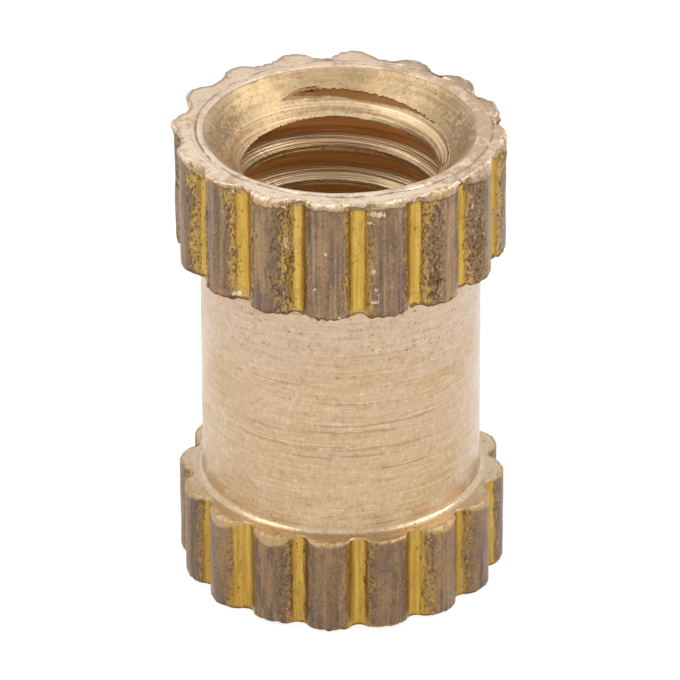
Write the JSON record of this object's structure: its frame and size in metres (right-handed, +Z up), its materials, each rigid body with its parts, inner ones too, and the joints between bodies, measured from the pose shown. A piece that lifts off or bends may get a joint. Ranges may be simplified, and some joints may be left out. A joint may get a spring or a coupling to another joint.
{
  "type": "threaded insert",
  "caption": "Knurled brass threaded insert for plastic: grooved band at each end, plain turned neck between, countersunk through bore.",
  "frame": {"origin": "on the axis of the bore, in the plane of the lower end face", "axes": "+Z up the bore towards the end with the taller band, -Y through a groove of the knurl"},
  "size_m": [0.0066, 0.0066, 0.01],
  "materials": {
    "brass": "turned brass, satin on the neck and in the bore, dull brown on the knurl teeth"
  },
  "bodies": {
    "root": {"insert": "brass"}
  },
  "joints": []
}
